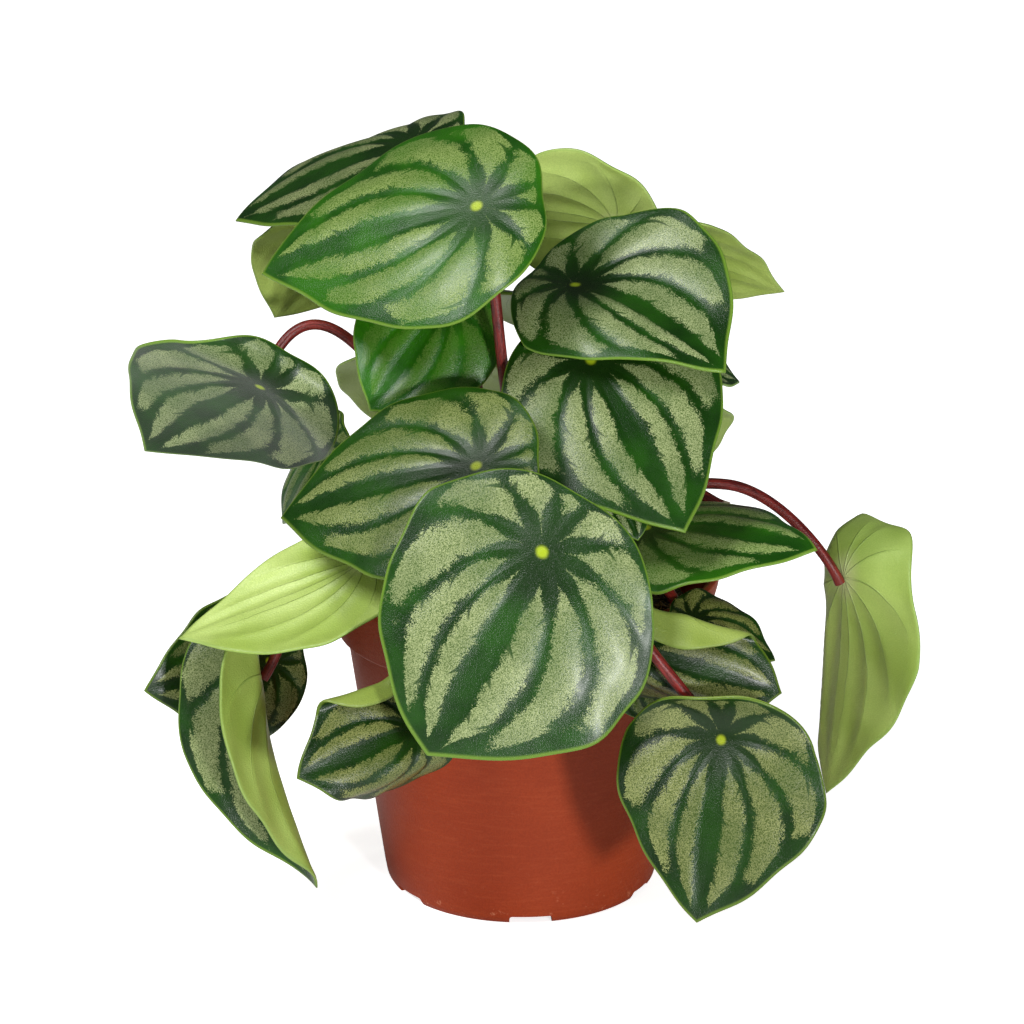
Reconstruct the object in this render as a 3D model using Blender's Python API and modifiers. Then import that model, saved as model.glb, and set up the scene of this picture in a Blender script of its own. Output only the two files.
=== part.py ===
"""Potted watermelon peperomia: a plastic nursery pot, its root ball, and 28 leaves on red stalks.

Metres, +Z up. The origin is the centre of the pot's underside, and the plant's front faces -Y.
"""
from dataclasses import dataclass
import math

import bmesh
import bpy
import numpy as np

# ---- Driving dimensions ----
GAP = 0.0003  # between pieces that touch on the real object
POT_HEIGHT = 0.090
RIM_RADIUS = 0.054
RIM_DEPTH = 0.017
RIM_FOOT_RADIUS = 0.0502
BODY_TOP_RADIUS = 0.0476
BODY_FOOT_RADIUS = 0.0380
FOOT_RADIUS = 0.0364
WALL = 0.0011
PAD_RADIUS = 0.0250  # the flat middle of the underside
GROOVE_RISE = 0.0026
GROOVE_OUTER = 0.0322
NOTCHES = 6
NOTCH_WIDTH = 0.0115
NOTCH_RISE = 0.0022
NOTCH_TURN = 4  # degrees that the front notch is turned to the right
HOLE_RADIUS = 0.0022
POT_SIDES = 48
SOIL_TOP = 0.080
SOIL_CROWNING = 0.0025  # how much higher the soil is in the middle
CROWN_RADIUS = 0.0160
CROWN_HEIGHT = 0.0120
BLADE_THICKNESS = 0.0010
STALK_RADIUS = 0.0017
STALK_TAPER = 0.80
SPOKES = 16
RINGS = 4
ROLLED_RINGS = 7
STALK_PARTS = 8
STALK_SIDES = 2  # bevel resolution
STUB_FOOT = (-4, 0.86)  # turn on the crown in degrees, share of the crown's radius
STUB_VIA = (0.036, 0.003, 0.1125)
STUB_END = (0.0560, 0.003, 0.1050)


@dataclass
class Leaf:
    """One leaf. The navel is where the stalk joins the blade, and the face looks out of its upper side."""

    navel: tuple
    tip: tuple
    face: tuple
    foot: tuple  # the stalk's place on the crown: turn in degrees, share of the crown's radius
    width: float = 0.86  # over the length
    arch: float = 20.0  # degrees that the tip side bends down
    base: float = 8.0  # degrees that the base side bends down
    left: float = 12.0  # degrees that each margin bends down
    right: float = 12.0
    left_from: float = 0.0  # share of the half width where that bend starts and ends
    left_to: float = 1.0
    right_from: float = 0.0
    right_to: float = 1.0
    bow: float = 0.0  # how far the middle of the blade lies to the left, over the length
    skew: float = 0.0
    point: float = 1.7  # above 2 the tip is blunt, near 1 its sides are straight
    widest: float = 0.43
    launch: float = 1.0  # how strongly the stalk leaves the crown, and how strongly it meets the blade
    land: float = 0.7
    meets: tuple = None  # the stalk's direction at the navel, or straight up into the blade
    via: tuple = ()  # places that the stalk passes, such as just over the pot's rim


LEAVES = {
    "01": Leaf((-0.012, -0.028, 0.197), (-0.067, -0.012, 0.174), (-0.25, -0.70, 0.62), (-88, 0.42), 0.76,
               arch=18, base=25, right=32, widest=0.40, via=((-0.0050, -0.0190, 0.152),)),
    "02": Leaf((-0.030, 0.026, 0.202), (-0.078, 0.030, 0.179), (-0.20, -0.30, 0.93), (139, 0.30), 0.84,
               arch=15, right=50),
    "03": Leaf((-0.052, 0.040, 0.172), (-0.069, 0.046, 0.147), (-0.45, 0.88, 0.10), (143, 0.62), 1.0,
               arch=30),
    "04": Leaf((-0.020, -0.008, 0.165), (-0.040, -0.020, 0.139), (0.00, -0.85, 0.50), (-165, 0.35), 0.90,
               arch=15),
    "05": Leaf((0.0270, 0.045, 0.175), (-0.018, 0.058, 0.174), (0.05, 0.92, 0.35), (75, 0.25), 0.76,
               arch=20),
    "06": Leaf((0.037, 0.060, 0.1625), (0.075, 0.065, 0.1505), (0.25, 0.85, 0.50), (46, 0.40), 0.78,
               arch=10, right=25, point=1.35),
    "07": Leaf((0.014, -0.010, 0.172), (0.052, -0.036, 0.154), (0.30, -0.40, 0.85), (-20, 0.22), 0.84,
               arch=30, left=-38, left_to=0.5, right=65, bow=0.08),
    "08": Leaf((0.018, -0.024, 0.155), (0.042, -0.050, 0.115), (0.10, -0.85, 0.50), (-48, 0.44), 0.84,
               base=15),
    "09": Leaf((0.040, 0.038, 0.141), (0.062, 0.045, 0.129), (0.10, -0.30, 0.90), (35, 0.72), 0.86),
    "10": Leaf((-0.071, 0.005, 0.1375), (-0.106, 0.041, 0.110), (-0.18, -0.77, -0.61), (178, 0.55), 0.80,
               arch=-30, base=100, left=-20, right=0, launch=2.0, land=1.6, meets=(-0.35, -0.35, -0.87)),
    "11": Leaf((-0.055, 0.040, 0.112), (-0.068, 0.048, 0.086), (-0.90, -0.30, 0.30), (150, 0.86), 0.86),
    "12": Leaf((-0.012, -0.052, 0.135), (-0.063, -0.036, 0.115), (-0.20, -0.66, 0.74), (-118, 0.56), 0.74,
               arch=22, bow=0.03),
    "13": Leaf((0.005, -0.072, 0.118), (-0.024, -0.085, 0.068), (0.00, -0.93, 0.37), (-92, 0.72), 0.92,
               arch=15, point=2.6, bow=0.05),
    "14": Leaf((-0.040, -0.036, 0.102), (-0.090, -0.044, 0.085), (0.10, 0.50, -0.85), (-138, 0.76), 0.54,
               arch=15, bow=-0.04, meets=(-0.50, 0.45, -0.70), via=((-0.022, -0.038, 0.110),)),
    "15": Leaf((-0.069, 0.000, 0.062), (-0.102, -0.015, 0.059), (-0.55, -0.82, 0.12), (170, 0.80), 0.86,
               arch=25, base=-15, right=-15, meets=(-0.55, -0.70, -0.45), land=1.2,
               via=((-0.050, 0.008, 0.098),)),
    "16": Leaf((-0.072, -0.030, 0.068), (-0.0555, -0.042, 0.0125), (-0.89, -0.45, 0.10), (-162, 0.72), 0.62,
               arch=10, base=60, left=-57, left_to=0.3, right=-57, right_to=0.3,
               meets=(-0.60, -0.20, -0.75), via=((-0.050, -0.018, 0.098),)),
    "17": Leaf((-0.027, -0.065, 0.068), (-0.057, -0.080, 0.060), (-0.15, -0.93, 0.30), (-116, 0.92), 0.92,
               right=-165, right_from=0.62, right_to=0.80, left=75, left_from=0.25, left_to=0.55,
               meets=(-0.12, -0.95, -0.15), land=0.9, via=((-0.023, -0.048, 0.097),)),
    "18": Leaf((0.028, -0.066, 0.0895), (0.067, -0.067, 0.0780), (0.05, -0.90, 0.42), (-77, 0.78), 0.80,
               arch=15, left=-165, left_from=0.48, left_to=0.64, right=80, right_from=0.12, right_to=0.40,
               meets=(0.30, -0.90, -0.20), via=((0.017, -0.047, 0.096),)),
    "19": Leaf((0.033, -0.020, 0.108), (0.077, -0.038, 0.107), (-0.05, -0.35, 0.93), (-22, 0.60), 0.80,
               arch=15, left=50, point=1.45),
    "20": Leaf((0.045, -0.046, 0.0905), (0.066, -0.046, 0.0790), (0.45, -0.50, 0.75), (-38, 0.90), 0.80,
               meets=(0.60, -0.78, -0.10), via=((0.036, -0.034, 0.0965),)),
    "21": Leaf((0.030, -0.0515, 0.080), (0.0385, -0.0490, 0.0635), (0.35, -0.90, 0.15), (-63, 0.94), 0.90,
               base=-11, left=25, right=25, meets=(0.28, -0.70, -0.65), land=1.0, via=((0.0270, -0.0485, 0.0965),)),
    "22": Leaf((0.0500, -0.080, 0.0705), (0.044, -0.094, 0.0260), (-0.30, -0.93, 0.20), (-51, 0.74), 0.87,
               arch=8, base=-75, right=-10, bow=0.04, launch=0.7, meets=(0.45, -0.75, -0.42), land=0.6,
               via=((0.0200, -0.0540, 0.1080), (0.0300, -0.0725, 0.0955))),
    "23": Leaf((0.0905, 0.005, 0.085), (0.0865, 0.010, 0.0185), (0.80, 0.60, 0.05), (12, 0.60), 0.66,
               arch=10, base=-95, left=-170, left_from=0.25, left_to=0.55, right=4, point=1.35,
               meets=(0.40, 0.05, -0.90), via=((0.056, 0.009, 0.1100),)),
    "24": Leaf((0.024, -0.036, 0.1265), (0.030, -0.043, 0.1110), (0.00, -0.80, 0.60), (-68, 0.60), 0.86),
    "25": Leaf((-0.025, 0.062, 0.130), (-0.034, 0.092, 0.096), (0.05, 0.55, 0.75), (112, 0.70), 0.86,
               arch=30),
    "26": Leaf((0.030, 0.066, 0.118), (0.048, 0.096, 0.084), (0.05, 0.55, 0.75), (62, 0.80), 0.86,
               arch=30),
    "27": Leaf((0.002, 0.058, 0.152), (0.008, 0.096, 0.128), (0.05, 0.45, 0.85), (92, 0.50), 0.86,
               arch=30),
    "28": Leaf((0.006, 0.072, 0.084), (0.010, 0.092, 0.044), (0.05, 0.85, 0.45), (88, 0.72), 0.86,
               arch=30, meets=(0.00, 0.92, -0.40), via=((0.005, 0.050, 0.096),)),
}
NAVEL_AT = 0.24  # share of the length between the base and the navel
DIMPLE = 0.025  # depth of the dip at the navel, over the length


def unit(vector):
    return np.asarray(vector, float) / np.linalg.norm(vector)


def blade_frame(leaf):
    """The navel, the directions ahead, left and up at the middle of the blade, and the blade's length."""
    navel = np.array(leaf.navel)
    chord = np.array(leaf.tip) - navel
    ahead = unit(chord)
    up = unit(np.array(leaf.face) - ahead * np.dot(leaf.face, ahead))
    half_arch = math.radians(abs(leaf.arch)) / 2
    length = np.linalg.norm(chord) * half_arch / math.sin(half_arch) / (1 - NAVEL_AT)
    return navel, ahead, np.cross(up, ahead), up, length


def blade_outline(leaf, length, turn):
    """The flat margin at each turn round the navel: 0 is the tip, and the left side is positive."""
    share = np.abs(turn) / (math.pi / 2)
    toward_tip = np.clip(share, 0, 1)
    half_width = leaf.width * length / 2
    centre = (leaf.widest - NAVEL_AT) * length
    u = np.where(
        share <= 1,
        centre + (1 - leaf.widest) * length * (1 - toward_tip),
        centre + leaf.widest * length * np.cos(turn),
    )
    v = np.where(
        share <= 1,
        half_width * (1 - (1 - toward_tip) ** leaf.point),
        half_width * np.abs(np.sin(turn)),
    )
    u = u + 0.02 * length * np.exp(-(((np.abs(turn) - math.pi) / 0.25) ** 2))
    v = v * np.sign(turn)
    along = np.clip(u / ((1 - NAVEL_AT) * length), 0, 1)
    v = v + leaf.bow * length * 4 * along * (1 - along)
    return u + leaf.skew * v * (1 - along), v


def bent(distance, degrees, start, stop):
    """Where a strip's point goes when the strip bends between two places: across, down and the turn there."""
    curve = math.radians(degrees) / (stop - start)
    if abs(curve) < 1e-6:
        curve = 1e-6
    turn = curve * np.clip(distance - start, 0, stop - start)
    past = np.maximum(distance - stop, 0)
    across = np.minimum(distance, start) + np.sin(turn) / curve + past * np.cos(turn)
    down = (1 - np.cos(turn)) / curve + past * np.sin(turn)
    return across, down, turn


def blade_points(leaf, turn, share):
    """Points of the blade's middle surface at each turn round the navel and share of the way to the margin."""
    navel, ahead, left, up, length = blade_frame(leaf)
    u, v = blade_outline(leaf, length, turn)
    u, v = u * share, v * share
    half_width = leaf.width * length / 2
    lefts = bent(np.abs(v), leaf.left, leaf.left_from * half_width, leaf.left_to * half_width)
    rights = bent(np.abs(v), leaf.right, leaf.right_from * half_width, leaf.right_to * half_width)
    across, down, side_turn = (np.where(v > 0, a, b) for a, b in zip(lefts, rights))
    dip = -DIMPLE * length * np.exp(-(u * u + v * v) / (0.16 * length) ** 2)
    sideways = (across + dip * np.sin(side_turn)) * np.sign(v)
    height = dip * np.cos(side_turn) - down
    half_arch = math.radians(leaf.arch) / 2
    tip_curve = 2 * half_arch / ((1 - NAVEL_AT) * length)
    base_curve = math.radians(leaf.base) / (NAVEL_AT * length)
    curve = np.where(u > 0, tip_curve, base_curve)
    turn_at = curve * u - half_arch
    forward = (np.sin(turn_at) + math.sin(half_arch)) / curve + height * np.sin(turn_at)
    upward = (np.cos(turn_at) - math.cos(half_arch)) / curve + height * np.cos(turn_at)
    return navel + forward[..., None] * ahead + sideways[..., None] * left + upward[..., None] * up


def navel_seat(leaf):
    """The stalk's end under the navel, and its direction there."""
    middle = blade_points(leaf, np.zeros(1), np.zeros(1))[0]
    _, ahead, _, up, _ = blade_frame(leaf)
    half_arch = math.radians(leaf.arch) / 2
    normal = up * math.cos(half_arch) - ahead * math.sin(half_arch)
    along = normal if leaf.meets is None else unit(leaf.meets)
    slant = math.sqrt(max(0, 1 - np.dot(along, normal) ** 2))
    drop = BLADE_THICKNESS / 2 + 2 * GAP + STALK_RADIUS * STALK_TAPER * slant
    return middle - normal * drop, along


def crown_seat(foot):
    """A stalk's start on the crown, and the direction in which it leaves."""
    turn, share = math.radians(foot[0]), foot[1]
    flat = np.array([math.cos(turn), math.sin(turn)]) * share
    rise = math.sqrt(1 - share * share)
    normal = unit([flat[0] / CROWN_RADIUS, flat[1] / CROWN_RADIUS, rise / CROWN_HEIGHT])
    crown_base = SOIL_TOP + SOIL_CROWNING + GAP
    surface = np.array([*(flat * CROWN_RADIUS), crown_base + rise * CROWN_HEIGHT])
    return surface + normal * GAP * 2, normal


def hermite(start, leaving, end, meeting, t):
    return (
        (2 * t**3 - 3 * t**2 + 1) * start
        + (t**3 - 2 * t**2 + t) * leaving
        + (3 * t**2 - 2 * t**3) * end
        + (t**3 - t**2) * meeting
    )


def way_through(places, leaving, meeting, parts):
    """Points of one smooth line through the places, given how it leaves the first and meets the last."""
    inner = [unit(after - before) for before, after in zip(places, places[2:])]
    ways = [leaving, *inner, meeting]
    spans = len(places) - 1
    line = [places[0]]
    for index in range(spans):
        start, end = places[index], places[index + 1]
        reach = np.linalg.norm(end - start)
        t = np.linspace(0, 1, math.ceil(parts / spans) + 1)[1:, None]
        line.extend(hermite(start, ways[index] * reach, end, ways[index + 1] * reach, t))
    return np.array(line)


def stalk_points(leaf, parts):
    """Points along the stalk, from the crown to the navel."""
    start, leaving = crown_seat(leaf.foot)
    end, meeting = navel_seat(leaf)
    places = [start, *map(np.array, leaf.via), end]
    return way_through(places, leaving * leaf.launch, meeting * leaf.land, parts)


def stub_points(parts):
    """Points along the old stalk that was cut off."""
    start, leaving = crown_seat(STUB_FOOT)
    end = np.array(STUB_END)
    return way_through([start, np.array(STUB_VIA), end], leaving, unit(end - np.array(STUB_VIA)), parts)


def clear_scene():
    for obj in list(bpy.data.objects):
        bpy.data.objects.remove(obj, do_unlink=True)


def collection(name):
    made = bpy.data.collections.new(name)
    bpy.context.scene.collection.children.link(made)
    return made


def material(name, colour, roughness):
    made = bpy.data.materials.new(name)
    made.use_nodes = True
    shader = made.node_tree.nodes["Principled BSDF"]
    shader.inputs["Base Color"].default_value = (*colour, 1)
    shader.inputs["Roughness"].default_value = roughness
    return made


def new_object(name, data, paint, into):
    made = bpy.data.objects.new(name, data)
    made.data.materials.append(paint)
    into.objects.link(made)
    return made


def turned(name, profile, paint, into):
    """A solid turned round Z from a profile whose ends both lie on the axis, outer side from top to bottom."""
    mesh = bpy.data.meshes.new(name)
    edges = [(i, i + 1) for i in range(len(profile) - 1)]
    mesh.from_pydata([(radius, 0, height) for radius, height in profile], edges, [])
    made = new_object(name, mesh, paint, into)
    screw = made.modifiers.new("Turn", "SCREW")
    screw.steps = screw.render_steps = POT_SIDES
    screw.use_merge_vertices = True
    screw.merge_threshold = 1e-5
    return made


def cut(target, cutter):
    cutter.hide_render = True
    cutter.display_type = "WIRE"
    boolean = target.modifiers.new(cutter.name, "BOOLEAN")
    boolean.operation = "DIFFERENCE"
    boolean.solver = "EXACT"
    boolean.object = cutter


def box_cutter(name, size, place, turn, into):
    mesh = bpy.data.meshes.new(name)
    shape = bmesh.new()
    bmesh.ops.create_cube(shape, size=1)
    bmesh.ops.scale(shape, vec=size, verts=shape.verts)
    shape.to_mesh(mesh)
    shape.free()
    made = bpy.data.objects.new(name, mesh)
    made.location = place
    made.rotation_euler = (0, 0, turn)
    into.objects.link(made)
    return made


def drum_cutter(name, radius, depth, place, into):
    mesh = bpy.data.meshes.new(name)
    shape = bmesh.new()
    bmesh.ops.create_cone(shape, cap_ends=True, segments=12, radius1=radius, radius2=radius, depth=depth)
    shape.to_mesh(mesh)
    shape.free()
    made = bpy.data.objects.new(name, mesh)
    made.location = place
    into.objects.link(made)
    return made


def make_pot(paint, into, cutters):
    rim_bottom = POT_HEIGHT - RIM_DEPTH
    floor = GROOVE_RISE + WALL
    profile = [
        (RIM_RADIUS - WALL, POT_HEIGHT),
        (RIM_RADIUS, POT_HEIGHT - 0.0004),
        (RIM_FOOT_RADIUS, rim_bottom),
        (BODY_TOP_RADIUS, rim_bottom - 0.0012),
        (BODY_FOOT_RADIUS, 0.0050),
        (FOOT_RADIUS + 0.0010, 0.0016),
        (FOOT_RADIUS, 0),
        (GROOVE_OUTER + 0.0008, 0),
        (GROOVE_OUTER, GROOVE_RISE),
        (PAD_RADIUS + 0.0012, GROOVE_RISE),
        (PAD_RADIUS, 0),
        (0, 0),
    ]
    inside = [
        (0, WALL),
        (PAD_RADIUS - 0.0002, WALL),
        (PAD_RADIUS + 0.0010, floor),
        (BODY_FOOT_RADIUS - WALL - 0.0003, floor),
        (BODY_TOP_RADIUS - WALL, rim_bottom - 0.0012),
        (RIM_FOOT_RADIUS - WALL, rim_bottom + 0.0010),
        (RIM_RADIUS - 2 * WALL, POT_HEIGHT - 0.0003),
        (RIM_RADIUS - WALL, POT_HEIGHT),
    ]
    pot = turned("pot", profile + inside, paint, into)
    for index in range(NOTCHES):
        turn = math.radians(-90 + NOTCH_TURN + 360 * index / NOTCHES)
        ahead = (math.cos(turn), math.sin(turn))
        place = (ahead[0] * (FOOT_RADIUS + 0.001), ahead[1] * (FOOT_RADIUS + 0.001), 0)
        size = (0.010, NOTCH_WIDTH, 2 * NOTCH_RISE)
        cut(pot, box_cutter(f"notch_{index}", size, place, turn, cutters))
        middle = (PAD_RADIUS + 0.0012 + GROOVE_OUTER) / 2
        place = (ahead[0] * middle, ahead[1] * middle, GROOVE_RISE)
        cut(pot, drum_cutter(f"drain_{index}", HOLE_RADIUS, 0.006, place, cutters))
    return pot


def make_soil(paint, into):
    floor = GROOVE_RISE + WALL + GAP
    foot = BODY_FOOT_RADIUS - WALL - GAP - 0.0006
    lean = (BODY_TOP_RADIUS - BODY_FOOT_RADIUS) / (POT_HEIGHT - RIM_DEPTH - 0.0062)
    shoulder = POT_HEIGHT - RIM_DEPTH - 0.004
    shoulder_radius = foot + lean * (shoulder - floor)
    profile = [
        (0, SOIL_TOP + SOIL_CROWNING),
        (CROWN_RADIUS * 1.3, SOIL_TOP + SOIL_CROWNING),
        (shoulder_radius * 0.8, SOIL_TOP + 0.0005),
        (shoulder_radius, SOIL_TOP - 0.0010),
        (shoulder_radius, shoulder),
        (foot, floor),
        (0, floor),
    ]
    return turned("soil", profile, paint, into)


def make_crown(paint, into):
    base = SOIL_TOP + SOIL_CROWNING + GAP
    steps = 6
    profile = []
    for index in range(steps + 1):
        turn = math.pi / 2 * (1 - index / steps)
        profile.append((CROWN_RADIUS * math.cos(turn), base + CROWN_HEIGHT * math.sin(turn)))
    return turned("crown", profile + [(0, base)], paint, into)


def blade_sheet(name, leaf, rings):
    """The blade's middle surface as rings round the navel."""
    turns = np.linspace(-math.pi, math.pi, SPOKES, endpoint=False)
    mesh = bpy.data.meshes.new(name)
    shape = bmesh.new()
    centre = shape.verts.new(blade_points(leaf, np.zeros(1), np.zeros(1))[0])
    loops = []
    for ring in range(1, rings + 1):
        share = np.full(SPOKES, (ring / rings) ** 0.9)
        loops.append([shape.verts.new(point) for point in blade_points(leaf, turns, share)])
    for i in range(SPOKES):
        j = (i + 1) % SPOKES
        shape.faces.new((centre, loops[0][i], loops[0][j]))
        for inner, outer in zip(loops, loops[1:]):
            shape.faces.new((inner[i], outer[i], outer[j], inner[j]))
    shape.to_mesh(mesh)
    shape.free()
    return mesh


def make_blade(name, leaf, paint, into):
    rolled = max(abs(leaf.left), abs(leaf.right)) > 100
    made = new_object(name, blade_sheet(name, leaf, ROLLED_RINGS if rolled else RINGS), paint, into)
    thicken = made.modifiers.new("Thickness", "SOLIDIFY")
    thicken.thickness = BLADE_THICKNESS
    thicken.offset = 0
    return made


def make_stalk(name, points, paint, into):
    curve = bpy.data.curves.new(name, "CURVE")
    curve.dimensions = "3D"
    curve.bevel_depth = STALK_RADIUS
    curve.bevel_resolution = STALK_SIDES
    curve.use_fill_caps = True
    spline = curve.splines.new("POLY")
    spline.points.add(len(points) - 1)
    for index, (point, place) in enumerate(zip(spline.points, points)):
        point.co = (*place, 1)
        point.radius = 1 - (1 - STALK_TAPER) * index / (len(points) - 1)
    return new_object(name, curve, paint, into)


def main():
    clear_scene()
    plant = collection("potted_peperomia")
    cutters = collection("cutters")
    make_pot(material("terracotta_plastic", (0.46, 0.10, 0.03), 0.45), plant, cutters)
    make_soil(material("potting_soil", (0.035, 0.022, 0.014), 0.95), plant)
    make_crown(material("crown_skin", (0.20, 0.05, 0.04), 0.6), plant)
    for number, leaf in LEAVES.items():
        green = material(f"leaf_{number}_skin", (0.10, 0.22, 0.07), 0.35)
        red = material(f"petiole_{number}_skin", (0.24, 0.03, 0.03), 0.4)
        make_blade(f"leaf_{number}", leaf, green, plant)
        make_stalk(f"petiole_{number}", stalk_points(leaf, STALK_PARTS), red, plant)
    make_stalk("stub", stub_points(STALK_PARTS), material("stub_skin", (0.24, 0.04, 0.03), 0.4), plant)


main()
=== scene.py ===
"""The looks of a potted watermelon peperomia: a plastic nursery pot, dark potting soil, red stalks,
and 28 round leaves with silver stripes above and a lime underside.

Metres, +Z up. The origin is the centre of the pot's underside, and the plant's front faces -Y.
"""
import math
from dataclasses import dataclass

import bmesh
import bpy
import numpy as np
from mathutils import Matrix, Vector, noise


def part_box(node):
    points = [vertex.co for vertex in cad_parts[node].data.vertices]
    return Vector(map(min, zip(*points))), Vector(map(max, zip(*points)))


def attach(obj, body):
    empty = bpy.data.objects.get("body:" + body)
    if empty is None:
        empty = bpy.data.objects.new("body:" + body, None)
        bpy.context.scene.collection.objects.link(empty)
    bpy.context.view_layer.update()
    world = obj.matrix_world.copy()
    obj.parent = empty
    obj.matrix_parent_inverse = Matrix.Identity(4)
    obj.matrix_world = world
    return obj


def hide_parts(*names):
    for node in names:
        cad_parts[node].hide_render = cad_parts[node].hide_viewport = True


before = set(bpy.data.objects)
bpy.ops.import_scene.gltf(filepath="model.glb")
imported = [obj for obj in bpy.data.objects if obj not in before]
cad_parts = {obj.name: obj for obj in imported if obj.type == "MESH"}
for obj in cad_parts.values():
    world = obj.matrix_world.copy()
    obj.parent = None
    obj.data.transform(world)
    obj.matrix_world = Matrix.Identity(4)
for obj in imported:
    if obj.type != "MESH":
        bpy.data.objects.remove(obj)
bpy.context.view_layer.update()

# ---- Camera and stage ----
LOOK_AT = Vector((-0.0025, 0, 0.105))
CAMERA_DISTANCE = 0.95
CAMERA_PITCH = math.radians(18)  # how far it looks down
VIEW_WIDTH = 0.2775  # what the picture spans at LOOK_AT
SENSOR = 36.0
NEAREST_SEEN = 0.01
FLOOR_SIDE = 12.0
FLOOR_GLOW = 0.75  # how much brighter the floor looks to the camera than it is lit
STUDIO_LIGHT = 0.32  # strength of the white surroundings
STUDIO_GLOW = 0.8  # how much brighter they look to the camera
STUDIO_DIMMING = 0.24  # how much dimmer they are in reflections
WHITE = (1.0, 1.0, 1.0, 1.0)

# ---- Sizes shared with the frame ----
GAP = 0.0003
POT_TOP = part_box("pot")[1]
POT_HEIGHT = POT_TOP.z
RIM_RADIUS = POT_TOP.x
RIM_BOTTOM = POT_HEIGHT - 0.017
RIM_FOOT_RADIUS = 0.0502
BODY_TOP = RIM_BOTTOM - 0.0012
BODY_TOP_RADIUS = 0.0476
BODY_FOOT = 0.005
BODY_FOOT_RADIUS = 0.038
FOOT_RADIUS = 0.0364
WALL = 0.0011
PAD_RADIUS = 0.025
GROOVE_RISE = 0.0026
GROOVE_INNER = PAD_RADIUS + 0.0012
GROOVE_OUTER = 0.0322
POT_FLOOR = GROOVE_RISE + WALL
NOTCHES = 6
NOTCH_WIDTH = 0.0115
NOTCH_DEPTH = 0.01
NOTCH_CORNER = 0.0007
NOTCH_RISE = 0.0022
NOTCH_TURN = 4
HOLE_RADIUS = 0.0022
POT_SIDES = 240
CORNER_RADIUS = 0.0005
SHARP_EDGE = math.radians(32)
SOIL_SIDES = 160
STREWN_SIDES = 64
SOIL_TOP = 0.08
SOIL_CROWNING = 0.0025
CROWN_BASE = SOIL_TOP + SOIL_CROWNING + GAP
CROWN_RADIUS = 0.016
CROWN_HEIGHT = 0.012
CROWN_SIDES = 96
CROWN_RINGS = 25
BLADE_THICKNESS = 0.001
STALK_RADIUS = 0.0017
STALK_TAPER = 0.8
STALK_PARTS = 64
STALK_SIDES = 20
STUB_FOOT = (-4, 0.86)
STUB_VIA = (0.036, 0.003, 0.1125)
STUB_END = (0.056, 0.003, 0.105)
WELD = 2e-6  # points of a leaf or stalk this near to each other become one
AXIS_WELD = 1e-5  # and so do points of a turned piece this near to its axis

# ---- Leaf blades ----
SPOKES = 144
INNER_RINGS = 42
ROLLED_RINGS = 5
MARGIN_ROLL = 0.03  # share of the way out over which the blade's edge rounds over
NAVEL_AT = 0.24  # share of the length between the base and the navel
DIMPLE = 0.025  # depth of the dip at the navel, over the length
DIMPLE_REACH = 0.16
BASE_DENT = 0.02  # depth of the shallow notch in the margin at the base, over the length
BASE_DENT_REACH = 0.25
USUAL_WIDTH = 0.86  # over the length
PUFFING = 0.0005  # how far the skin between two veins stands above them
RIPPLE = 0.0006  # how far the margin waves up and down
SCALLOP = 0.007  # how unevenly the margin runs, over its radius

# Waves round the margin: the height of each, its count, and how far a leaf's number shifts it.
RIPPLES = ((1.0, 3, 1.9), (0.8, 5, 2.7), (0.5, 9, 1.0))
SCALLOPS = ((1.0, 7, 3.1), (1.0, 11, 1.3))

# Veins: on each, the turn from the navel and the turn from where the veins meet add up to one sum.
FIRST_VEIN = 9.5  # degrees in the sum on the first vein beside the midrib
VEIN_STEP = 32.0  # degrees more on each vein after it
VEINS_MEET = 0.775  # where the main veins run together near the tip, over the length


@dataclass
class Leaf:
    """One leaf. The stalk joins the blade at the navel, and the face looks out of the upper side."""

    navel: tuple
    tip: tuple
    face: tuple
    foot: tuple  # the stalk's place on the crown: turn in degrees, share of the crown's radius
    width: float = USUAL_WIDTH
    arch: float = 20.0  # degrees that the tip side bends down
    base: float = 8.0  # degrees that the base side bends down
    left: tuple = (12, 0, 1)  # degrees that the side bends down, from one share of its width to another
    right: tuple = (12, 0, 1)
    bow: float = 0.0  # how far the middle of the blade lies to the left, over the length
    point: float = 1.7  # above 2 the tip is blunt, near 1 its sides are straight
    widest: float = 0.43
    launch: float = 1.0  # how strongly the stalk leaves the crown, and how strongly it meets the blade
    land: float = 0.7
    meets: tuple = None  # the stalk's direction at the navel, or straight up into the blade
    via: tuple = ()  # places that the stalk passes, such as just over the pot's rim


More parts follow.
